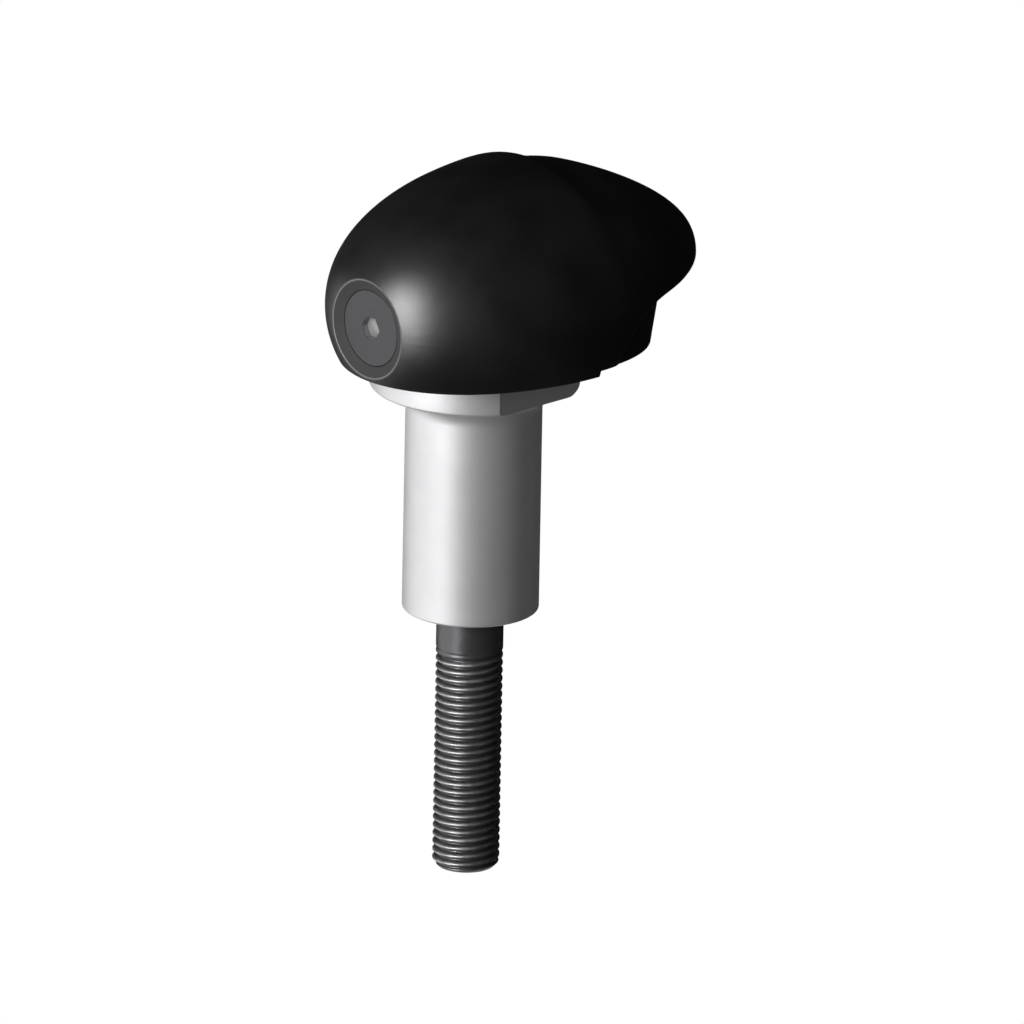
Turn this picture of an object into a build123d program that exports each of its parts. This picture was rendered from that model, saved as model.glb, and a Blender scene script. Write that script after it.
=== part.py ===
"""Frame slider for a motorbike: a threaded stud, a turned carrier and a streamlined crash pad.

The stud screws into the bike's frame and clamps the carrier's lower face against it. The pad slides over a
boss on the carrier, sits on the carrier's flange, and one screw through its nose holds it to the boss.

Frame, in millimetres: the origin is the centre of the carrier's lower face, which meets the bike. +Z runs
along the stud's axis towards the pad. +X runs along the pad from its nose to its tail.
"""

import os
from math import copysign, cos, exp, radians, sin, tan

from build123d import *

# Stud, a length of M12 fine thread
stud_diameter = 12.0
stud_pitch = 1.5
stud_reach = 48.6
stud_engagement = 31.4

# Carrier, one turned piece: spacer, flange and the boss inside the pad
spacer_diameter = 24.4
spacer_length = 42.0
spacer_edge = 0.25
flange_diameter = 37.6
flange_thickness = 6.1
flange_flats = 33.1
flange_fillet = 2.6
flange_edge = 0.3
boss_diameter = 20.0
boss_length = 22.0
boss_edge = 1.0
stud_hole_spare = 2.0
stud_hole_mouth = 13.2
drill_point_angle = 118.0

# Nose screw, M6 with a wide low head and a hexagon socket
screw_diameter = 6.0
screw_pitch = 1.0
screw_length = 25.0
screw_above_seat = 9.8
head_diameter = 14.0
head_thickness = 3.0
head_edge = 0.12
hex_across_flats = 4.0
hex_depth = 1.2
screw_hole_spare = 1.5
tip_chamfer = 0.8

# Metric thread, each a share of the pitch: its depth, and how far its pitch diameter is below its outer one
thread_depth_share = 0.6134
pitch_diameter_share = 0.6495

# Pad, the moulded block
pad_face = -26.1
pad_face_radius = 9.3
pad_widest = 12.0
pad_tail = 47.4
half_width = 26.4
rise_at_widest = 24.15
drop_at_widest = 30.0
width_bluntness = 2.32
rise_bluntness = 2.25
drop_growth = 1.5
nose_sections = 7
tail_sections = 16
tail_section_crowding = 1.4

# Tail handles, each the pull of a cubic curve from the widest section to the tail's tip
tail_reach_handle = 13.0
tail_width_handle = 13.4
tail_crest_handles = (20.8, 11.3)
tail_lift = 3.6

# Shallow hollow across the top, just behind the crown
hollow_station = 16.5
hollow_length = 4.0
hollow_depth = 0.7

# Scoop that thins the tail's underside to a brim
scoop_start = 8.0
scoop_end = 20.0
brim_drop = 3.2
brim_lift = 2.2
brim_level_station = 25.0

# Skirt under the brim, blunt at its tail in plan and wider at its top
skirt_middle = 8.0
skirt_nose = 22.0
skirt_tail = 23.2
skirt_half_width = 24.3
skirt_top_tail = 26.0
skirt_top_half_width = 24.8
skirt_bluntness = 2.4
skirt_height = 12.0
skirt_points = 13

# Underside and recesses of the pad
step_height = 1.2
step_station = 7.7
seat_margin = 1.0
dish_radius = 9.0
dish_depth = 0.9
dish_overcut = 1.0
head_clearance = 0.06
shank_clearance = 0.3
boss_clearance = 0.1
boss_end_gap = 0.5

seat_height = spacer_length + flange_thickness
boss_top = seat_height + boss_length
screw_height = seat_height + screw_above_seat
crest_chamfer = thread_depth_share * stud_pitch
# An engaged thread and its tapped hole meet at the thread's pitch diameter
stud_engaged_diameter = stud_diameter - pitch_diameter_share * stud_pitch
screw_engaged_diameter = screw_diameter - pitch_diameter_share * screw_pitch
head_top = pad_face + dish_depth
head_under = head_top + head_thickness
screw_end = head_under + screw_length
stud_hole_depth = stud_engagement + stud_hole_spare


def blunt(share, power):
    """Height of a blunt quarter curve, from 1 at its widest place to 0 at its end."""
    return (1.0 - share**power) ** (1.0 / power)


def nose_curve(x, widest_size, power):
    """Half size at a station: it grows from the nose face's radius to its widest along a blunt curve."""
    reach = (pad_widest - pad_face) / blunt(pad_face_radius / widest_size, power)
    return widest_size * blunt((pad_widest - x) / reach, power)


def pull(s, start, handle, second, end):
    """Point at s on a cubic curve with two handles."""
    r = 1.0 - s
    return r**3 * start + 3 * r**2 * s * handle + 3 * r * s**2 * second + s**3 * end


def hollow(x):
    """Depth of the hollow behind the crown at a station."""
    return hollow_depth * exp(-(((x - hollow_station) / hollow_length) ** 2))


def ease(x, start, end):
    """Share of a smooth change between two stations, 0 ahead of it and 1 behind it."""
    share = min(max((x - start) / (end - start), 0.0), 1.0)
    return share**2 * (3.0 - 2.0 * share)


def front_section(x):
    """Height of the widest line, half width, rise and drop of the pad at a station ahead of its widest."""
    width = nose_curve(x, half_width, width_bluntness)
    rise = nose_curve(x, rise_at_widest, rise_bluntness)
    share = (x - pad_face) / (pad_widest - pad_face)
    drop = rise + (drop_at_widest - rise_at_widest) * share**drop_growth
    thinned = drop + (brim_drop - drop) * ease(x, scoop_start, scoop_end)
    return screw_height, width, rise - hollow(x), thinned


def tail_section(s):
    """Station, height of the widest line, half width, rise and drop at a share s of the way to the tip."""
    x = pull(s, pad_widest, pad_widest + tail_reach_handle, pad_tail, pad_tail)
    lift = brim_lift * ease(x, pad_widest, brim_level_station) + (tail_lift - brim_lift) * s**3
    width = pull(s, half_width, half_width, tail_width_handle, 0.0)
    crest = pull(s, rise_at_widest, *tail_crest_handles, tail_lift)
    brim = brim_drop * width / half_width
    drop = drop_at_widest + (brim - drop_at_widest) * ease(x, scoop_start, scoop_end)
    return x, screw_height + lift, width, crest - lift - hollow(x), drop


def skirt_outline(height, tail, half_width):
    """Outline of the skirt at a height: half an ellipse at its nose and a blunter half at its tail."""
    with BuildSketch(Plane.XY.offset(height)) as outline:
        with BuildLine():
            bend = []
            for i in range(skirt_points):
                turn = radians(180 * i / (skirt_points - 1))
                across = -half_width * copysign(abs(cos(turn)) ** (2 / skirt_bluntness), cos(turn))
                bend.append((skirt_middle + tail * sin(turn) ** (2 / skirt_bluntness), across))
            Spline(*bend, tangents=((1, 0), (-1, 0)))
            EllipticalCenterArc((skirt_middle, 0), skirt_nose, half_width, start_angle=90, arc_size=180)
        make_face()
    return outline.sketch


def oval(x, height, width, rise, drop):
    """Section of the pad across its long axis: one half ellipse above the widest line and one below."""
    across = Plane(origin=(x, 0, height), x_dir=(0, 1, 0), z_dir=(1, 0, 0))
    with BuildSketch(across) as section:
        with BuildLine():
            EllipticalCenterArc((0, 0), width, rise, start_angle=0, arc_size=180)
            EllipticalCenterArc((0, 0), width, drop, start_angle=180, arc_size=180)
        make_face()
    return section.sketch


# Stud: the reach that screws into the bike, its shoulder against the carrier, and the engaged end above it
with BuildPart() as stud:
    with BuildSketch(Plane.XY.offset(-stud_reach)):
        Circle(stud_diameter / 2)
    extrude(amount=stud_reach)
    chamfer(stud.faces().sort_by(Axis.Z)[0].edges(), crest_chamfer)
    with BuildSketch(Plane.XY):
        Circle(stud_engaged_diameter / 2)
    extrude(amount=stud_engagement)
    chamfer(stud.faces().sort_by(Axis.Z)[-1].edges(), crest_chamfer)
stud.part.label = "stud"

# Carrier: a half profile turned about the stud's axis, with milled flats and two tapped holes
with BuildPart() as carrier:
    with BuildSketch(Plane.XZ):
        with BuildLine():
            Polyline(
                (0, 0),
                (spacer_diameter / 2 - spacer_edge, 0),
                (spacer_diameter / 2, spacer_edge),
                (spacer_diameter / 2, spacer_length - flange_fillet),
            )
            RadiusArc(
                (spacer_diameter / 2, spacer_length - flange_fillet),
                (spacer_diameter / 2 + flange_fillet, spacer_length),
                flange_fillet,
            )
            Polyline(
                (spacer_diameter / 2 + flange_fillet, spacer_length),
                (flange_diameter / 2 - flange_edge, spacer_length),
                (flange_diameter / 2, spacer_length + flange_edge),
                (flange_diameter / 2, seat_height - flange_edge),
                (flange_diameter / 2 - flange_edge, seat_height),
                (boss_diameter / 2, seat_height),
                (boss_diameter / 2, boss_top - boss_edge),
                (boss_diameter / 2 - boss_edge, boss_top),
                (0, boss_top),
                (0, 0),
            )
        make_face()
    revolve(axis=Axis.Z)
    with BuildSketch(Plane.XY.offset(spacer_length)):
        Circle(flange_diameter)
        Rectangle(2 * flange_diameter, flange_flats, mode=Mode.SUBTRACT)
    extrude(amount=flange_thickness, mode=Mode.SUBTRACT)
    with BuildSketch(Plane.XZ):
        with BuildLine():
            Polyline(
                (0, 0),
                (stud_hole_mouth / 2, 0),
                (stud_engaged_diameter / 2, (stud_hole_mouth - stud_engaged_diameter) / 2),
                (stud_engaged_diameter / 2, stud_hole_depth),
                (0, stud_hole_depth + stud_engaged_diameter / 2 / tan(radians(drill_point_angle / 2))),
                (0, 0),
            )
        make_face()
    revolve(axis=Axis.Z, mode=Mode.SUBTRACT)
    with BuildSketch(Plane.YZ.offset(-boss_diameter)):
        with Locations((0, screw_height)):
            Circle(screw_engaged_diameter / 2)
    extrude(amount=boss_diameter + screw_end + screw_hole_spare, mode=Mode.SUBTRACT)
carrier.part.label = "carrier"

# Nose screw: head, shank and hexagon socket, along the pad's long axis
with BuildPart() as pad_screw:
    with BuildSketch(Plane.YZ.offset(head_top)):
        with Locations((0, screw_height)):
            Circle(head_diameter / 2)
    extrude(amount=head_thickness)
    chamfer(pad_screw.faces().sort_by(Axis.X)[0].edges(), head_edge)
    with BuildSketch(Plane.YZ.offset(head_under)):
        with Locations((0, screw_height)):
            Circle(screw_diameter / 2)
    extrude(amount=-boss_diameter / 2 - head_under)
    with BuildSketch(Plane.YZ.offset(-boss_diameter / 2)):
        with Locations((0, screw_height)):
            Circle(screw_engaged_diameter / 2)
    extrude(amount=screw_end + boss_diameter / 2)
    chamfer(pad_screw.faces().sort_by(Axis.X)[-1].edges(), tip_chamfer)
    with BuildSketch(Plane.YZ.offset(head_top)):
        with Locations((0, screw_height)):
            RegularPolygon(hex_across_flats / 2, 6, major_radius=False)
    extrude(amount=hex_depth, mode=Mode.SUBTRACT)
pad_screw.part.label = "pad_screw"

# Pad: sections across its long axis, from the flat of the nose to the tip of the tail
pad_rings = []
for i in range(nose_sections):
    station = pad_widest - (pad_widest - pad_face) * cos(radians(90 * i / nose_sections))
    pad_rings.append(oval(station, *front_section(station)))
for i in range(tail_sections):
    share = sin(radians(90 * (i / tail_sections) ** tail_section_crowding))
    pad_rings.append(oval(*tail_section(share)))
tail_tip = Vertex(pad_tail, 0, screw_height + tail_lift)

with BuildPart() as pad:
    loft(sections=[*pad_rings, tail_tip])
    split(bisect_by=Plane.XY.offset(seat_height), keep=Keep.TOP)
    loft(sections=[
        skirt_outline(seat_height, skirt_tail, skirt_half_width),
        skirt_outline(seat_height + skirt_height, skirt_top_tail, skirt_top_half_width),
    ])
    # Step across the underside, clear of the flange's seat
    with BuildSketch(Plane.XY.offset(seat_height)):
        with Locations((step_station, 0)):
            Rectangle(pad_tail, 4 * half_width, align=(Align.MIN, Align.CENTER))
        Circle(flange_diameter / 2 + seat_margin, mode=Mode.SUBTRACT)
    extrude(amount=step_height, mode=Mode.SUBTRACT)
    # Socket for the carrier's boss
    with BuildSketch(Plane.XY.offset(seat_height)):
        Circle(boss_diameter / 2 + boss_clearance)
    extrude(amount=boss_length + boss_end_gap, mode=Mode.SUBTRACT)
    # Dish in the nose, seat for the screw's head and hole for its shank
    with BuildSketch(Plane.XZ):
        with BuildLine():
            Polyline(
                (pad_face - dish_overcut, screw_height),
                (pad_face - dish_overcut, screw_height + dish_radius),
                (pad_face, screw_height + dish_radius),
                (head_top, screw_height + head_diameter / 2 + head_clearance),
                (head_under, screw_height + head_diameter / 2 + head_clearance),
                (head_under, screw_height + screw_diameter / 2 + shank_clearance),
                (0, screw_height + screw_diameter / 2 + shank_clearance),
                (0, screw_height),
                (pad_face - dish_overcut, screw_height),
            )
        make_face()
    revolve(axis=Axis((0, 0, screw_height), (1, 0, 0)), mode=Mode.SUBTRACT)
pad.part.label = "pad"

os.makedirs("parts", exist_ok=True)
export_step(stud.part, "parts/stud.step")
export_step(carrier.part, "parts/carrier.step")
export_step(pad_screw.part, "parts/pad_screw.step")
export_step(pad.part, "parts/pad.step")
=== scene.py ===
"""Looks of the frame slider: its finishes, its softer edges, its stud's thread and a plain studio.

Lengths in the dataclass fields are in metres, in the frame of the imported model: the origin is the centre of
the carrier's lower face, +Z runs along the stud towards the pad and +X from the pad's nose to its tail.
"""

import logging
import math
from abc import ABC, abstractmethod
from dataclasses import dataclass
from enum import Enum

import bmesh
import bpy
from mathutils import Matrix, Vector

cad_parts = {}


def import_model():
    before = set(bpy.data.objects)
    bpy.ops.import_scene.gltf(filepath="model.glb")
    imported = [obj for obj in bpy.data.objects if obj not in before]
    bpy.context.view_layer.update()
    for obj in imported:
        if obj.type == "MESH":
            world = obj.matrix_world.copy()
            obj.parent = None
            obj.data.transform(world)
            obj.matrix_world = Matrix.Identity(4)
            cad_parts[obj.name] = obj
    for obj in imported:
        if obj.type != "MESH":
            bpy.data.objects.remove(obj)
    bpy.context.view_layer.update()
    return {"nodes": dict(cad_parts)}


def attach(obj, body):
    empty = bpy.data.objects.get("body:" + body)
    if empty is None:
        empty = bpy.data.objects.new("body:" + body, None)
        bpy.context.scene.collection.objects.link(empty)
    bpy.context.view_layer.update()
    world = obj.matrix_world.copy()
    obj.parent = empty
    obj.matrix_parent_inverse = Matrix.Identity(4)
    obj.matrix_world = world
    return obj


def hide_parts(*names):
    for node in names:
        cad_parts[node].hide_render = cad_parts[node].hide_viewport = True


Span = tuple[float, float]
Colour = tuple[float, float, float]
Corner = tuple[float, float, float]
Socket = bpy.types.NodeSocket
RISING: Span = (0.0, 1.0)
FALLING: Span = (1.0, 0.0)
# Nearly all of a noise's values lie in this range.
NOISE_RANGE: Span = (0.3, 0.7)
# Points that lie nearer than this, in metres, are one.
WELD = 0.00001
log = logging.getLogger("frame_slider")


class Slot(Enum):
    """The record's material slots."""

    STUD = "black_oxide_steel"
    CARRIER = "turned_aluminium"
    PAD = "black_polymer"
    SCREW = "dark_steel"


def whole(bm: bmesh.types.BMesh) -> list[bmesh.types.BMVert | bmesh.types.BMEdge | bmesh.types.BMFace]:
    """Everything in a shape, for an operator that works on all of it."""
    return bm.verts[:] + bm.edges[:] + bm.faces[:]


def finished_mesh(bm: bmesh.types.BMesh, name: str) -> bpy.types.Mesh:
    """Writes a worked shape into a mesh of its own, and frees it.

    Args:
        bm: the shape.
        name: the mesh's name.

    Returns:
        The mesh.
    """
    mesh = bpy.data.meshes.new(name)
    bm.to_mesh(mesh)
    bm.free()
    return mesh


def put_in_scene(name: str, data: bpy.types.ID) -> bpy.types.Object:
    """Makes an object and links it to the scene.

    Args:
        name: the object's name.
        data: its mesh, lamp or camera.

    Returns:
        The object, at the origin.
    """
    item = bpy.data.objects.new(name, data)
    bpy.context.scene.collection.objects.link(item)
    return item


class NodeGraph:
    """The node tree of a material or a world, with short calls for adding and joining nodes."""

    def __init__(self, owner: bpy.types.Material | bpy.types.World, output: str) -> None:
        """Empties the tree and gives it its output.

        Args:
            owner: the material or world.
            output: the type name of its output node.
        """
        owner.use_nodes = True
        self.owner = owner
        self.tree = owner.node_tree
        self.tree.nodes.clear()
        self.output = self.add(output)

    @classmethod
    def for_material(cls, name: str) -> "NodeGraph":
        """Makes a material and its graph."""
        return cls(bpy.data.materials.new(name), "ShaderNodeOutputMaterial")

    @classmethod
    def for_world(cls, name: str) -> "NodeGraph":
        """Makes a world and its graph."""
        return cls(bpy.data.worlds.new(name), "ShaderNodeOutputWorld")

    def add(self, kind: str, **settings: object) -> bpy.types.Node:
        """Adds a node.

        Args:
            kind: the node's type name.
            **settings: properties to set on it.

        Returns:
            The new node.
        """
        node = self.tree.nodes.new(kind)
        for key, value in settings.items():
            setattr(node, key, value)
        return node

    def feed(self, value: float | Colour | Socket, target: Socket) -> None:
        """Gives an input its value.

        Args:
            value: a number, a colour, or the output that is linked to the input.
            target: the input.
        """
        if isinstance(value, Socket):
            self.tree.links.new(value, target)
        elif isinstance(value, tuple):
            target.default_value = (*value, 1.0)
        else:
            target.default_value = value

    def math(self, operation: str, *inputs: float | Socket) -> Socket:
        """Adds a Math node.

        Args:
            operation: the Math node's operation.
            *inputs: numbers or outputs, in order.

        Returns:
            The node's output.
        """
        node = self.add("ShaderNodeMath", operation=operation)
        for value, target in zip(inputs, node.inputs):
            self.feed(value, target)
        return node.outputs[0]

    def object_axes(self) -> tuple[Socket, Socket, Socket]:
        """Adds the Object coordinates.

        Returns:
            Their x, y and z, in metres.
        """
        place = self.add("ShaderNodeTexCoord")
        split = self.add("ShaderNodeSeparateXYZ")
        self.feed(place.outputs["Object"], split.inputs[0])
        return split.outputs[0], split.outputs[1], split.outputs[2]

    def combine(self, *parts: float | Socket) -> Socket:
        """Joins three numbers or outputs into a vector.

        Args:
            *parts: x, y and z.

        Returns:
            The vector.
        """
        node = self.add("ShaderNodeCombineXYZ")
        for value, target in zip(parts, node.inputs):
            self.feed(value, target)
        return node.outputs[0]

    def noise(self, vector: Socket, scale: float, octaves: float) -> Socket:
        """Adds a Noise texture.

        Args:
            vector: where to read it.
            scale: how many of its patches a metre holds.
            octaves: how many finer noises lie over the first.

        Returns:
            The noise's value.
        """
        node = self.add("ShaderNodeTexNoise")
        self.feed(vector, node.inputs["Vector"])
        self.feed(scale, node.inputs["Scale"])
        self.feed(octaves, node.inputs["Detail"])
        return node.outputs[0]

    def remap(self, value: Socket, ends: Span, wanted: Span) -> Socket:
        """Maps a value from one range smoothly onto another, and holds it at the ends.

        Args:
            value: the value.
            ends: where the change starts and ends.
            wanted: what the value is there.

        Returns:
            The mapped value.
        """
        node = self.add("ShaderNodeMapRange", interpolation_type="SMOOTHSTEP")
        for name, number in zip(("From Min", "From Max", "To Min", "To Max"), (*ends, *wanted)):
            self.feed(number, node.inputs[name])
        self.feed(value, node.inputs["Value"])
        return node.outputs[0]

    def spread(self, noise: Socket, wanted: Span) -> Socket:
        """Stretches a noise, which stays near its middle, over a range."""
        return self.remap(noise, NOISE_RANGE, wanted)

    def blend(self, share: Socket, first: Colour | Socket, second: Colour) -> Socket:
        """Blends two colours.

        Args:
            share: how much of the second colour shows, from 0 to 1.
            first: one colour, or the output that gives it.
            second: the other colour.

        Returns:
            The blended colour.
        """
        node = self.add("ShaderNodeMix", data_type="RGBA")
        start, end = [socket for socket in node.inputs if socket.type == "RGBA"]
        self.feed(first, start)
        self.feed(second, end)
        self.feed(share, node.inputs[0])
        return next(socket for socket in node.outputs if socket.type == "RGBA")

    def radius(self, across: Socket, along: Socket) -> Socket:
        """How far a point is from an axis, from its two distances to it."""
        squares = [self.math("MULTIPLY", distance, distance) for distance in (across, along)]
        return self.math("SQRT", self.math("ADD", *squares))

    def bump(self, height: Socket, distance: float, strength: float) -> Socket:
        """Adds a Bump node.

        Args:
            height: the height, from 0 to 1.
            distance: how far a height of 1 stands out, in metres.
            strength: how much of it shows.

        Returns:
            The bent normal.
        """
        node = self.add("ShaderNodeBump")
        self.feed(distance, node.inputs["Distance"])
        self.feed(strength, node.inputs["Strength"])
        self.feed(height, node.inputs["Height"])
        return node.outputs[0]

    def shader(self, colour: Socket, metallic: float | Socket) -> bpy.types.Node:
        """Adds the surface shader.

        Args:
            colour: the output that gives its base colour.
            metallic: 1 for clean bare metal, less where a thin film dulls it, and 0 for anything else.

        Returns:
            The shader, joined to the output.
        """
        node = self.add("ShaderNodeBsdfPrincipled")
        self.feed(colour, node.inputs["Base Color"])
        self.feed(metallic, node.inputs["Metallic"])
        self.feed(node.outputs[0], self.output.inputs["Surface"])
        return node


@dataclass(frozen=True)
class TurnedAluminium:
    """Satin aluminium off the lathe, with fine marks round the stud's axis."""

    colour: Colour = (0.78, 0.78, 0.79)
    dull_colour: Colour = (0.74, 0.74, 0.75)
    mark_scale: float = 9000.0
    mark_depth: float = 0.000004
    mark_strength: float = 0.6
    patch_scale: float = 140.0
    octaves: float = 3.0
    roughness: Span = (0.52, 0.58)
    bareness: float = 0.85

    def material(self) -> bpy.types.Material:
        """Builds the finish.

        Returns:
            Its material.
        """
        graph = NodeGraph.for_material("turned_aluminium")
        x, y, z = graph.object_axes()
        marks = graph.noise(graph.combine(graph.radius(x, y), z, 0.0), self.mark_scale, self.octaves)
        patches = graph.noise(graph.combine(x, y, z), self.patch_scale, self.octaves)
        colour = graph.blend(graph.spread(patches, RISING), self.colour, self.dull_colour)
        shader = graph.shader(colour, self.bareness)
        graph.feed(graph.spread(marks, self.roughness), shader.inputs["Roughness"])
        graph.feed(graph.bump(marks, self.mark_depth, self.mark_strength), shader.inputs["Normal"])
        return graph.owner


@dataclass(frozen=True)
class MouldedPolymer:
    """Black engineering plastic with the faint grain of its mould.

    It is duller in the dish for the screw's head, and has a painted highlight, a thin pale ring, at the dish's
    rim.
    """

    colour: Colour = (0.004, 0.004, 0.0045)
    faded_colour: Colour = (0.006, 0.006, 0.0065)
    grain_scale: float = 2600.0
    grain_depth: float = 0.00001
    grain_strength: float = 0.35
    grain_octaves: float = 2.0
    patch_scale: float = 90.0
    patch_octaves: float = 3.0
    roughness: Span = (0.4, 0.46)
    specular: float = 1.0
    ior: float = 1.6
    # Painted highlight: the colour of the pale ring on the dish's rim.
    rim_highlight_colour: Colour = (0.11, 0.11, 0.11)
    wear_and_highlight_spread: Span = (0.6, 1.0)
    dish_height: float = 0.0579
    dish_rim: float = 0.009
    rim_edges: Span = (0.00007, 0.00014)
    face: Span = (-0.0258, -0.0256)
    dish_end: Span = (-0.02, -0.0202)
    dish_dullness: float = 0.42

    def material(self) -> bpy.types.Material:
        """Builds the finish.

        Returns:
            Its material.
        """
        graph = NodeGraph.for_material("black_polymer")
        x, y, z = graph.object_axes()
        place = graph.combine(x, y, z)
        grain = graph.noise(place, self.grain_scale, self.grain_octaves)
        patches = graph.noise(place, self.patch_scale, self.patch_octaves)
        reach = graph.radius(y, graph.math("SUBTRACT", z, self.dish_height))
        # Painted highlight: a thin pale ring on the dish's rim, on the nose's face, broken up by the grain.
        off_rim = graph.math("ABSOLUTE", graph.math("SUBTRACT", reach, self.dish_rim))
        at_rim = graph.remap(off_rim, self.rim_edges, FALLING)
        on_face = graph.math("MULTIPLY", at_rim, graph.remap(x, self.face, FALLING))
        rim_highlight = graph.math("MULTIPLY", on_face, graph.spread(grain, self.wear_and_highlight_spread))
        plain = graph.blend(graph.spread(patches, RISING), self.colour, self.faded_colour)
        shader = graph.shader(graph.blend(rim_highlight, plain, self.rim_highlight_colour), 0.0)
        shader.inputs["Specular IOR Level"].default_value = self.specular
        shader.inputs["IOR"].default_value = self.ior
        in_dish = graph.remap(reach, (self.dish_rim - self.rim_edges[1], self.dish_rim), FALLING)
        duller = graph.remap(x, self.dish_end, (0.0, self.dish_dullness))
        rougher = graph.math("MULTIPLY", in_dish, duller)
        roughness = graph.math("ADD", graph.spread(patches, self.roughness), rougher)
        graph.feed(roughness, shader.inputs["Roughness"])
        graph.feed(graph.bump(grain, self.grain_depth, self.grain_strength), shader.inputs["Normal"])
        return graph.owner


@dataclass(frozen=True)
class DarkCoat(ABC):
    """Steel with a thin dark coat that is rubbed back to the metal in one place, and painted lighter there as
    a highlight.
    """

    name: str
    colour: Colour
    bare_and_highlight_colour: Colour
    roughness: Span
    mottle_scale: float = 700.0
    mottle_depth: float = 0.000006
    mottle_strength: float = 0.4
    mottle_octaves: float = 4.0
    wear_and_highlight_spread: Span = (0.7, 1.0)
    bareness: float = 0.85
    bare_roughness: float = 0.12

    @abstractmethod
    def bare_and_highlight_mask(self, graph: NodeGraph) -> Socket:
        """How far the coat is rubbed off and painted lighter as a highlight at a point, from 0 to 1."""

    def material(self) -> bpy.types.Material:
        """Builds the finish.

        Returns:
            Its material.
        """
        graph = NodeGraph.for_material(self.name)
        place = graph.combine(*graph.object_axes())
        mottle = graph.noise(place, self.mottle_scale, self.mottle_octaves)
        # Bare metal where the coat is rubbed off, and also a painted highlight: this mask lightens the colour.
        bare_and_highlight = graph.math("MULTIPLY", self.bare_and_highlight_mask(graph), graph.spread(mottle, self.wear_and_highlight_spread))
        metallic = graph.remap(bare_and_highlight, RISING, (self.bareness, 1.0))
        shader = graph.shader(graph.blend(bare_and_highlight, self.colour, self.bare_and_highlight_colour), metallic)
        rougher = graph.math("MULTIPLY", bare_and_highlight, self.bare_roughness)
        roughness = graph.math("ADD", graph.spread(mottle, self.roughness), rougher)
        graph.feed(roughness, shader.inputs["Roughness"])
        graph.feed(graph.bump(mottle, self.mottle_depth, self.mottle_strength), shader.inputs["Normal"])
        return graph.owner


@dataclass(frozen=True)
class OxidisedThread(DarkCoat):
    """Black oxide on the stud, worn bright on the crests of its thread, with a painted highlight along the
    crests.
    """

    name: str = "black_oxide_steel"
    colour: Colour = (0.14, 0.14, 0.145)
    # Lighter on the crests: bare metal, and a painted highlight.
    bare_and_highlight_colour: Colour = (0.56, 0.56, 0.565)
    roughness: Span = (0.36, 0.46)
    bright_crest_radius: Span = (0.0055, 0.00588)
    thread_starts: Span = (-0.0083, -0.0095)

    def bare_and_highlight_mask(self, graph: NodeGraph) -> Socket:
        """Rubs the crests bare and paints them lighter as a highlight, below the plain shank.

        Args:
            graph: the finish's graph.

        Returns:
            How far the coat is rubbed off and the crests are painted lighter.
        """
        x, y, z = graph.object_axes()
        crest = graph.remap(graph.radius(x, y), self.bright_crest_radius, RISING)
        return graph.math("MULTIPLY", crest, graph.remap(z, self.thread_starts, RISING))


@dataclass(frozen=True)
class PlatedHead(DarkCoat):
    """Dark plating on the pad's screw, rubbed bright by the key in its socket, and painted lighter there
    against the socket's shade.
    """

    name: str = "dark_steel"
    colour: Colour = (0.09, 0.09, 0.095)
    # Lighter in the socket: bare metal, and painted light against the socket's shade.
    bare_and_highlight_colour: Colour = (0.45, 0.45, 0.455)
    roughness: Span = (0.38, 0.5)
    socket_mouth: Span = (-0.02518, -0.0251)
    socket_radius: Span = (0.0026, 0.0024)
    height: float = 0.0579

    def bare_and_highlight_mask(self, graph: NodeGraph) -> Socket:
        """Rubs the socket bare and paints it lighter against its shade, below its mouth.

        Args:
            graph: the finish's graph.

        Returns:
            How far the coat is rubbed off and the socket is painted lighter.
        """
        x, y, z = graph.object_axes()
        reach = graph.radius(y, graph.math("SUBTRACT", z, self.height))
        inside = graph.remap(reach, self.socket_radius, RISING)
        return graph.math("MULTIPLY", inside, graph.remap(x, self.socket_mouth, RISING))


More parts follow.
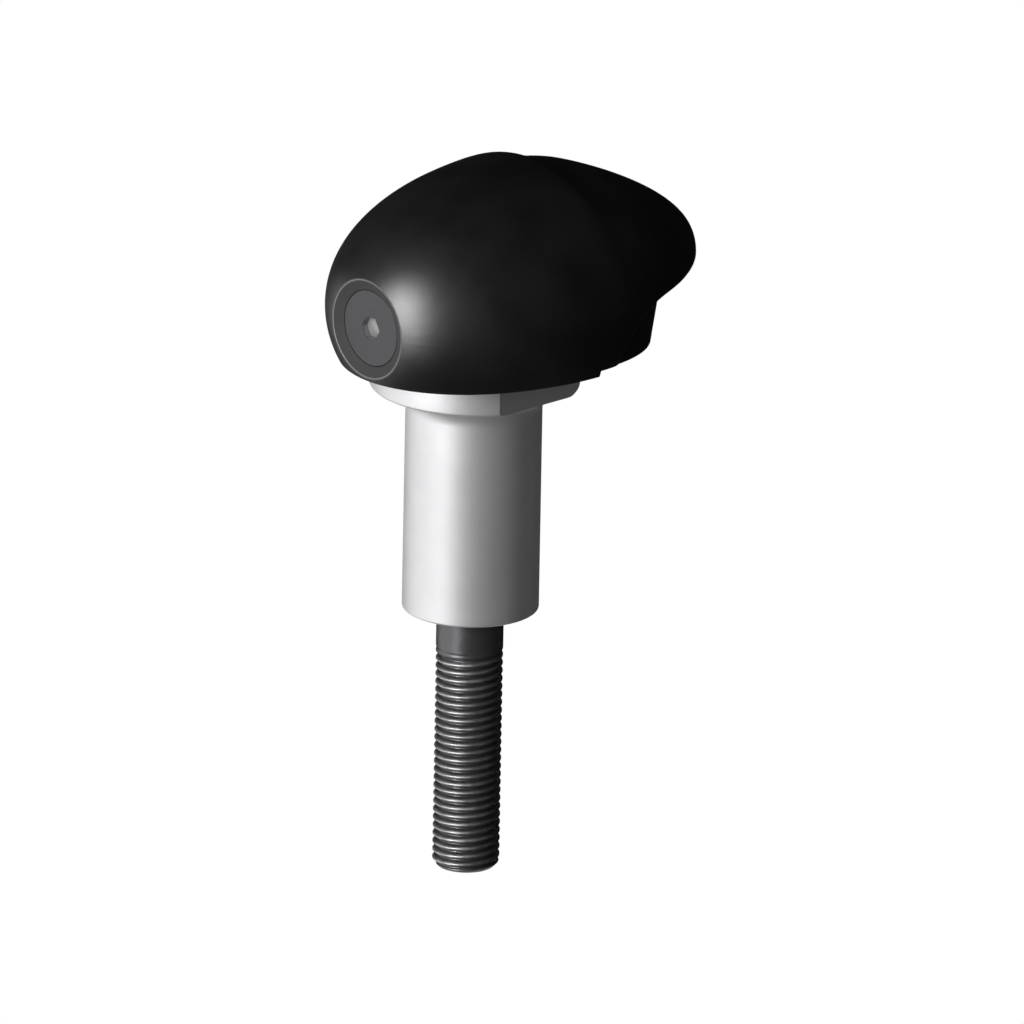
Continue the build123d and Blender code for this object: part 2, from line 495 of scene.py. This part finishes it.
@dataclass
class ThreadedStud:
    """The stud with its M12 x 1.5 thread.

    A plain shank lies under the carrier, the thread runs from there to the pointed lower end, and a plain
    cylinder of the pitch diameter stands for the turns that are screwed into the carrier.
    """

    radius: float = 0.006
    root_radius: float = 0.00508
    pitch: float = 0.0015
    reach: float = 0.0486
    shank: float = 0.0073
    run_out: float = 0.0022
    engagement: float = 0.0314
    engaged_radius: float = 0.005513
    engaged_segments: int = 48
    steps: int = 96
    spare_turns: int = 2
    flank: tuple[Span, ...] = (
        (0.0, 0.0),
        (0.05, 0.02),
        (0.09, 0.09),
        (0.13, 0.19),
        (0.26, 0.62),
        (0.31, 0.78),
        (0.37, 0.9),
        (0.43, 0.975),
        (0.5, 1.0),
    )

    def tooth(self) -> list[Vector]:
        """Draws one rolled tooth in the plane of X and Z, from the middle of a groove up to the next.

        Returns:
            Its points: the flank's shares of the pitch and of the depth, then the same mirrored.
        """
        falling = [(1.0 - along, share) for along, share in reversed(self.flank[:-1])]
        depth = self.radius - self.root_radius
        return [
            Vector((self.root_radius + depth * share, 0.0, self.pitch * along))
            for along, share in (*self.flank, *falling)
        ]

    def depth_share(self, z: float) -> float:
        """How much of the groove's depth is cut at a height: it runs out under the plain shank."""
        share = (-self.shank - z) / self.run_out
        return min(max(share, 0.0), 1.0)

    def wind(self, bm: bmesh.types.BMesh) -> None:
        """Winds the tooth into one turn and stacks the turns, with spare ones above and below.

        Args:
            bm: the empty shape.
        """
        start = -self.reach - self.spare_turns * self.pitch
        turns = math.ceil((self.reach + 2 * self.spare_turns * self.pitch) / self.pitch)
        verts = [bm.verts.new(point + Vector((0, 0, start))) for point in self.tooth()]
        edges = [bm.edges.new(pair) for pair in zip(verts, verts[1:])]
        bmesh.ops.spin(
            bm,
            geom=verts + edges,
            cent=(0, 0, 0),
            axis=(0, 0, 1),
            dvec=(0, 0, self.pitch / self.steps),
            angle=2 * math.pi,
            steps=self.steps,
            use_merge=False,
        )
        turn = whole(bm)
        for i in range(1, turns):
            stacked = bmesh.ops.duplicate(bm, geom=turn)["geom"]
            lifted = [item for item in stacked if isinstance(item, bmesh.types.BMVert)]
            bmesh.ops.translate(bm, vec=(0, 0, i * self.pitch), verts=lifted)
        bmesh.ops.remove_doubles(bm, verts=bm.verts, dist=WELD)
        log.info("stud: %d turns wound", turns)

    def cut_to_length(self, bm: bmesh.types.BMesh) -> None:
        """Cuts the winding off at the carrier's face and at the stud's end.

        Args:
            bm: the wound thread.
        """
        for level, below in ((0.0, False), (-self.reach, True)):
            bmesh.ops.bisect_plane(
                bm,
                geom=whole(bm),
                plane_co=(0, 0, level),
                plane_no=(0, 0, 1),
                clear_outer=not below,
                clear_inner=below,
            )

    def turn_ends(self, bm: bmesh.types.BMesh) -> None:
        """Fills the thread up to the plain shank where it runs out, points the lower end and closes both.

        Args:
            bm: the thread, cut to length.
        """
        for vert in bm.verts:
            radius = math.hypot(vert.co.x, vert.co.y)
            filled = self.radius - (self.radius - radius) * self.depth_share(vert.co.z)
            pointed = self.root_radius + (vert.co.z + self.reach)
            scale = min(filled, pointed) / radius
            vert.co.x *= scale
            vert.co.y *= scale
        rims = [edge for edge in bm.edges if edge.is_boundary]
        bmesh.ops.holes_fill(bm, edges=rims, sides=0)

    def mesh(self) -> bpy.types.Mesh:
        """Makes the threaded length and the engaged one above it.

        Returns:
            The stud's mesh.
        """
        bm = bmesh.new()
        self.wind(bm)
        self.cut_to_length(bm)
        self.turn_ends(bm)
        bmesh.ops.create_cone(
            bm,
            cap_ends=True,
            segments=self.engaged_segments,
            radius1=self.engaged_radius,
            radius2=self.engaged_radius,
            depth=self.engagement,
            matrix=Matrix.Translation((0, 0, self.engagement / 2)),
        )
        bmesh.ops.recalc_face_normals(bm, faces=bm.faces)
        for face in bm.faces:
            face.smooth = len(face.verts) == 4
        return finished_mesh(bm, "threaded_stud")

    def build(self) -> bpy.types.Object:
        """Makes the stud and puts it in the place of the plain one.

        Returns:
            The piece.
        """
        piece = put_in_scene("threaded_stud", self.mesh())
        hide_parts("stud")
        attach(piece, "root")
        piece.data.materials.append(OxidisedThread().material())
        return piece


@dataclass
class TurnedCarrier:
    """The carrier with the rounded edges and the fillet of the real one.

    It is one turned piece: the spacer, the flange with its two flats, and the boss inside the pad.
    """

    spacer_radius: float = 0.0122
    spacer_length: float = 0.042
    spacer_edge: float = 0.0004
    flange_radius: float = 0.0188
    flange_fillet: float = 0.0043
    flange_edge: float = 0.0006
    seat_height: float = 0.0481
    seat_edge: float = 0.0003
    flats: float = 0.0331
    boss_radius: float = 0.01
    boss_top: float = 0.0701
    boss_edge: float = 0.001
    hole_radius: float = 0.005513
    hole_mouth: float = 0.0066
    hole_depth: float = 0.0334
    hole_point: float = 0.003313
    screw_hole_radius: float = 0.002675
    screw_hole_height: float = 0.0579
    screw_hole_end: float = 0.0048
    drill_start: float = -0.02
    drill_segments: int = 48
    rounding_segments: int = 8
    steps: int = 144
    sharp_angle: float = math.radians(28.0)

    def corners(self) -> tuple[Corner, ...]:
        """Lists the half profile's corners, from the hole's point round to the boss's top.

        Returns:
            Each corner's radius, its height and how far it is rounded.
        """
        return (
            (0.0, self.hole_depth + self.hole_point, 0.0),
            (self.hole_radius, self.hole_depth, 0.0),
            (self.hole_radius, self.hole_mouth - self.hole_radius, 0.0),
            (self.hole_mouth, 0.0, 0.0),
            (self.spacer_radius, 0.0, self.spacer_edge),
            (self.spacer_radius, self.spacer_length, self.flange_fillet),
            (self.flange_radius, self.spacer_length, self.flange_edge),
            (self.flange_radius, self.seat_height, self.seat_edge),
            (self.boss_radius, self.seat_height, 0.0),
            (self.boss_radius, self.boss_top, self.boss_edge),
            (0.0, self.boss_top, 0.0),
        )

    def draw_profile(self, bm: bmesh.types.BMesh) -> None:
        """Draws the half profile in the plane of X and Z, and rounds its corners.

        Args:
            bm: the empty shape.
        """
        corners = self.corners()
        verts = [bm.verts.new((radius, 0.0, height)) for radius, height, _ in corners]
        for pair in zip(verts, verts[1:]):
            bm.edges.new(pair)
        for vert, (_, _, rounding) in zip(verts, corners):
            if rounding:
                bmesh.ops.bevel(
                    bm,
                    geom=[vert],
                    offset=rounding,
                    offset_type="OFFSET",
                    segments=self.rounding_segments,
                    profile=0.5,
                    affect="VERTICES",
                    clamp_overlap=False,
                    material=-1,
                )

    def mill_flats(self, bm: bmesh.types.BMesh) -> None:
        """Mills the flange's two flats.

        Args:
            bm: the turned shape.
        """
        for side in (-1, 1):
            cut = bmesh.ops.bisect_plane(
                bm,
                geom=whole(bm),
                plane_co=(0, side * self.flats / 2, 0),
                plane_no=(0, side, 0),
                clear_outer=True,
            )
            rim = [item for item in cut["geom_cut"] if isinstance(item, bmesh.types.BMEdge)]
            bmesh.ops.holes_fill(bm, edges=rim, sides=0)

    def blank(self) -> bpy.types.Mesh:
        """Turns the profile and mills the flats.

        Returns:
            The carrier without the screw's hole.
        """
        bm = bmesh.new()
        self.draw_profile(bm)
        bmesh.ops.spin(
            bm,
            geom=whole(bm),
            cent=(0, 0, 0),
            axis=(0, 0, 1),
            angle=2 * math.pi,
            steps=self.steps,
            use_merge=True,
        )
        bmesh.ops.remove_doubles(bm, verts=bm.verts, dist=WELD)
        self.mill_flats(bm)
        bmesh.ops.recalc_face_normals(bm, faces=bm.faces)
        return finished_mesh(bm, "carrier_blank")

    def drill(self) -> bpy.types.Mesh:
        """Makes the screw's drill, turned so that no corner of it meets an edge of the boss.

        Returns:
            A cylinder from in front of the boss to the end of the hole.
        """
        bm = bmesh.new()
        middle = (self.drill_start + self.screw_hole_end) / 2
        level = Matrix.Rotation(math.pi / 2, 4, "Y")
        half_step = Matrix.Rotation(math.pi / self.drill_segments, 4, "Z")
        bmesh.ops.create_cone(
            bm,
            cap_ends=True,
            segments=self.drill_segments,
            radius1=self.screw_hole_radius,
            radius2=self.screw_hole_radius,
            depth=self.screw_hole_end - self.drill_start,
            matrix=Matrix.Translation((middle, 0, self.screw_hole_height)) @ level @ half_step,
        )
        return finished_mesh(bm, "screw_drill")

    def mesh(self) -> bpy.types.Mesh:
        """Drills the screw's hole, and marks the edges that stay sharp.

        Returns:
            The carrier's mesh.
        """
        blank = put_in_scene("carrier_blank", self.blank())
        drill = put_in_scene("screw_drill", self.drill())
        cut = blank.modifiers.new("screw_hole", "BOOLEAN")
        cut.operation = "DIFFERENCE"
        cut.object = drill
        shaped = blank.evaluated_get(bpy.context.evaluated_depsgraph_get())
        mesh = bpy.data.meshes.new_from_object(shaped)
        mesh.name = "turned_carrier"
        for item in (blank, drill):
            bpy.data.objects.remove(item)
        bm = bmesh.new()
        bm.from_mesh(mesh)
        for face in bm.faces:
            face.smooth = True
        for edge in bm.edges:
            edge.smooth = edge.calc_face_angle(math.pi) < self.sharp_angle
        bm.to_mesh(mesh)
        bm.free()
        return mesh

    def build(self) -> bpy.types.Object:
        """Makes the carrier and puts it in the place of the plain one.

        Returns:
            The piece.
        """
        piece = put_in_scene("turned_carrier", self.mesh())
        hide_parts("carrier")
        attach(piece, "root")
        piece.data.materials.clear()
        piece.data.materials.append(TurnedAluminium().material())
        return piece


@dataclass
class CadNodes:
    """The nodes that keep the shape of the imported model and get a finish."""

    nodes: dict[str, bpy.types.Object]

    def dress(self, node: str, material: bpy.types.Material) -> None:
        """Gives a node its finish.

        Args:
            node: the node's name.
            material: its finish.
        """
        data = self.nodes[node].data
        data.materials.clear()
        data.materials.append(material)
        log.info("%s: %s", node, material.name)

    def build(self) -> None:
        """Dresses the pad and its screw."""
        self.dress("pad", MouldedPolymer().material())
        self.dress("pad_screw", PlatedHead().material())


@dataclass
class Camera:
    """A camera without perspective, turned as the photograph's was."""

    azimuth: float = math.radians(317.6)
    elevation: float = math.radians(19.4)
    roll: float = math.radians(1.05)
    field: float = 0.18207
    right_of_seat: float = 0.00711
    above_seat: float = 0.01676
    distance: float = 0.6

    def axes(self) -> tuple[Vector, Vector, Vector]:
        """Works out the view's directions, before its roll.

        Returns:
            The level right, up and backward.
        """
        a, e = self.azimuth, self.elevation
        back = Vector((math.sin(a) * math.cos(e), -math.cos(a) * math.cos(e), math.sin(e)))
        right = Vector((math.cos(a), math.sin(a), 0.0))
        return right, back.cross(right), back

    def build(self) -> None:
        """Makes the scene's camera."""
        right, up, back = self.axes()
        data = bpy.data.cameras.new("camera")
        data.type = "ORTHO"
        data.ortho_scale = self.field
        camera = put_in_scene("camera", data)
        turned_right = right * math.cos(self.roll) + up * math.sin(self.roll)
        turned_up = up * math.cos(self.roll) - right * math.sin(self.roll)
        place = right * self.right_of_seat + up * self.above_seat + back * self.distance
        turn = Matrix((turned_right, turned_up, back)).transposed()
        camera.matrix_world = Matrix.Translation(place) @ turn.to_4x4()
        bpy.context.scene.camera = camera


@dataclass
class Studio:
    """A pale floor under the part, a white surround, one soft lamp on the left, and a dim hood round the part.

    The hood fills the shadows with matte light and looks dim in anything glossy. It is open on the left,
    where the white surround shows in the metal. A patch of it, low behind the part, glows and shows the
    part's shape from the back. Sides are angles to the left of the view.
    """

    camera: Camera
    floor_height: float = -0.7
    floor_size: float = 6.0
    floor_colour: Colour = (0.8, 0.8, 0.8)
    white: Colour = (1.0, 1.0, 1.0)
    ambient: float = 0.1
    lamp_side: float = math.radians(45.0)
    lamp_rise: float = math.radians(-2.0)
    lamp_distance: float = 1.3
    lamp_lift: float = 0.03
    lamp_size: Span = (0.45, 1.2)
    lamp_power: float = 18.5
    hood_radius: float = 0.55
    hood_segments: int = 72
    hood_glow: float = 0.006
    hood_fill: float = 0.6
    rear_glow: float = 0.9
    rear_rise: float = math.radians(-34.0)
    rear_spread: float = math.radians(24.0)
    window_sides: Span = (math.radians(75.0), math.radians(132.0))
    window_rises: Span = (math.radians(-40.0), math.radians(14.0))

    def direction(self, side: float, rise: float) -> Vector:
        """Works out a direction from the part.

        Args:
            side: its angle to the left of the view.
            rise: its rise over the view.

        Returns:
            The direction, one long.
        """
        right, up, back = self.camera.axes()
        level = back * math.cos(side) - right * math.sin(side)
        return (level * math.cos(rise) + up * math.sin(rise)).normalized()

    def whiten(self, graph: NodeGraph, lit: bpy.types.Node, white: bpy.types.Node) -> None:
        """Shows white to the camera, a gloss or a clear body, and lights things with another shader.

        Args:
            graph: the graph of a floor or a surround.
            lit: the shader that light falls on or comes from.
            white: the shader that is seen.
        """
        path = graph.add("ShaderNodeLightPath")
        seen = graph.math("MAXIMUM", path.outputs["Is Camera Ray"], path.outputs["Is Glossy Ray"])
        mix = graph.add("ShaderNodeMixShader")
        graph.feed(graph.math("MAXIMUM", seen, path.outputs["Is Transmission Ray"]), mix.inputs[0])
        graph.feed(lit.outputs[0], mix.inputs[1])
        graph.feed(white.outputs[0], mix.inputs[2])
        graph.feed(mix.outputs[0], graph.output.inputs["Surface"])

    def floor(self) -> None:
        """Lays the floor, well below the part, and whitens it for the camera."""
        bm = bmesh.new()
        bmesh.ops.create_grid(
            bm,
            x_segments=1,
            y_segments=1,
            size=self.floor_size / 2,
            matrix=Matrix.Translation((0, 0, self.floor_height)),
        )
        floor = put_in_scene("floor", finished_mesh(bm, "floor"))
        graph = NodeGraph.for_material("pale_floor")
        matte = graph.add("ShaderNodeBsdfDiffuse")
        graph.feed(self.floor_colour, matte.inputs["Color"])
        self.whiten(graph, matte, graph.add("ShaderNodeEmission"))
        floor.data.materials.append(graph.owner)

    def in_window(self, way: Vector) -> bool:
        """Tells whether the hood is open in a direction.

        Args:
            way: the direction from the hood's middle.

        Returns:
            True where it is open.
        """
        right, up, back = self.camera.axes()
        side = math.atan2(-way.dot(right), way.dot(back))
        rise = math.asin(way.dot(up) / way.length)
        (near, far), (low, high) = self.window_sides, self.window_rises
        return near < side < far and low < rise < high

    def glow(self, name: str, gloss: float) -> bpy.types.Material:
        """Makes a material for the hood.

        Args:
            name: the material's name.
            gloss: how bright it looks in a gloss.

        Returns:
            The material, which lights matte surfaces by the hood's fill.
        """
        graph = NodeGraph.for_material(name)
        path = graph.add("ShaderNodeLightPath")
        strength = graph.remap(path.outputs["Is Diffuse Ray"], RISING, (gloss, self.hood_fill))
        light = graph.add("ShaderNodeEmission")
        graph.feed(strength, light.inputs["Strength"])
        graph.feed(light.outputs[0], graph.output.inputs["Surface"])
        return graph.owner

    def hood(self) -> None:
        """Hangs the hood. The camera looks through it."""
        bm = bmesh.new()
        bmesh.ops.create_uvsphere(
            bm,
            u_segments=self.hood_segments,
            v_segments=self.hood_segments // 2,
            radius=self.hood_radius,
        )
        opened = [face for face in bm.faces if self.in_window(face.calc_center_median())]
        bmesh.ops.delete(bm, geom=opened, context="FACES")
        rear = self.direction(math.pi, self.rear_rise)
        for face in bm.faces:
            face.material_index = int(rear.angle(face.calc_center_median()) < self.rear_spread)
        hood = put_in_scene("hood", finished_mesh(bm, "hood"))
        hood.visible_camera = False
        hood.visible_shadow = False
        hood.data.materials.append(self.glow("dim_hood", self.hood_glow))
        hood.data.materials.append(self.glow("rear_glow", self.rear_glow))

    def world(self) -> None:
        """Sets the surround: white where it is seen, and dim as light."""
        graph = NodeGraph.for_world("studio")
        dim = graph.add("ShaderNodeBackground")
        graph.feed(self.ambient, dim.inputs["Strength"])
        white = graph.add("ShaderNodeBackground")
        for node in (dim, white):
            graph.feed(self.white, node.inputs["Color"])
        self.whiten(graph, dim, white)
        bpy.context.scene.world = graph.owner

    def lamp(self) -> None:
        """Hangs the soft key lamp to the left of the camera. Its light passes through the hood."""
        way = self.direction(self.lamp_side, self.lamp_rise)
        data = bpy.data.lights.new("key", "AREA")
        data.shape = "ELLIPSE"
        data.size, data.size_y = self.lamp_size
        data.energy = self.lamp_power
        # Reflected rays stop at the hood, so the lamp is sampled only by rays that are aimed at it.
        data.cycles.use_multiple_importance_sampling = False
        lamp = put_in_scene("key", data)
        lamp.location = way * self.lamp_distance + Vector((0.0, 0.0, self.lamp_lift))
        lamp.rotation_mode = "QUATERNION"
        lamp.rotation_quaternion = way.to_track_quat("Z", "Y")

    def build(self) -> None:
        """Makes the studio."""
        self.floor()
        self.hood()
        self.world()
        self.lamp()
        bpy.context.scene.view_settings.view_transform = "Standard"


def main() -> None:
    """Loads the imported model, dresses it and lights it."""
    logging.basicConfig(level=logging.INFO, format="%(message)s")
    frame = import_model()
    camera = Camera()
    camera.build()
    Studio(camera).build()
    CadNodes(frame["nodes"]).build()
    for piece in (TurnedCarrier().build(), ThreadedStud().build()):
        log.info("%s: %d faces", piece.name, len(piece.data.polygons))
    bpy.context.view_layer.update()


if __name__ == "__main__":
    main()
